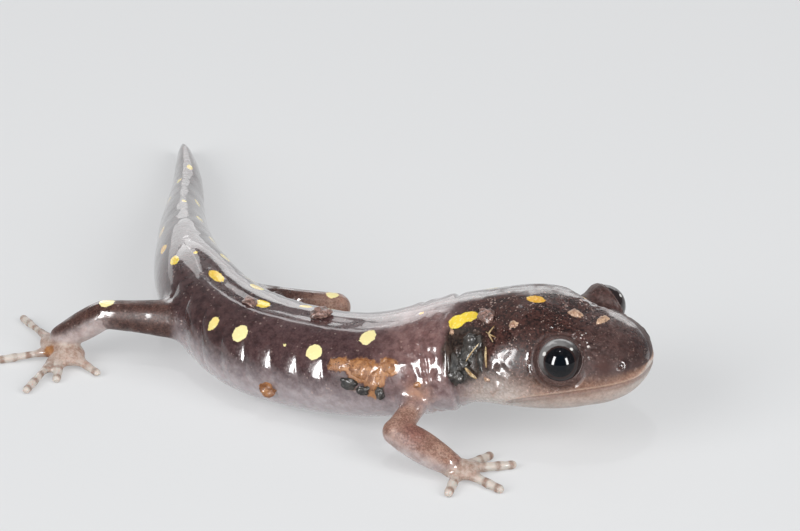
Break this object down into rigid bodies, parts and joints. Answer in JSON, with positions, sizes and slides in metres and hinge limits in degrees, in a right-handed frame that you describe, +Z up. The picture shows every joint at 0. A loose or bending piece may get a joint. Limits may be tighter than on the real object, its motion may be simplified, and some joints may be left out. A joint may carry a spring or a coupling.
{
  "type": "spotted salamander model",
  "caption": "Life-size still model of a young spotted salamander standing with its head and chest raised, belly and tail on the ground.",
  "frame": {"origin": "on the floor under the middle of the animal's box", "axes": "+X the way the chest faces, +Y the animal's left, +Z up"},
  "size_m": [0.0552, 0.042, 0.0111],
  "materials": {
    "skin": "wet, glossy naked skin: dark purple-brown back with yellow spots, grey-lilac belly and translucent brown-pink legs",
    "eye": "clear wet cornea over a nearly black iris with a grey rim",
    "soil": "damp crumbs of orange-brown and black soil that stick to the skin"
  },
  "bodies": {
    "root": {"head": "skin", "lower_jaw": "skin", "neck": "skin", "chest": "skin", "belly": "skin", "hips": "skin", "tail_base": "skin", "tail_middle": "skin", "tail_tip": "skin", "right_upper_arm": "skin", "right_forearm": "skin", "right_hand": "skin", "right_thigh": "skin", "right_shin": "skin", "right_foot": "skin", "left_upper_arm": "skin", "left_forearm": "skin", "left_hand": "skin", "left_thigh": "skin", "left_shin": "skin", "left_foot": "skin", "right_eye": "eye", "left_eye": "eye"}
  },
  "joints": []
}
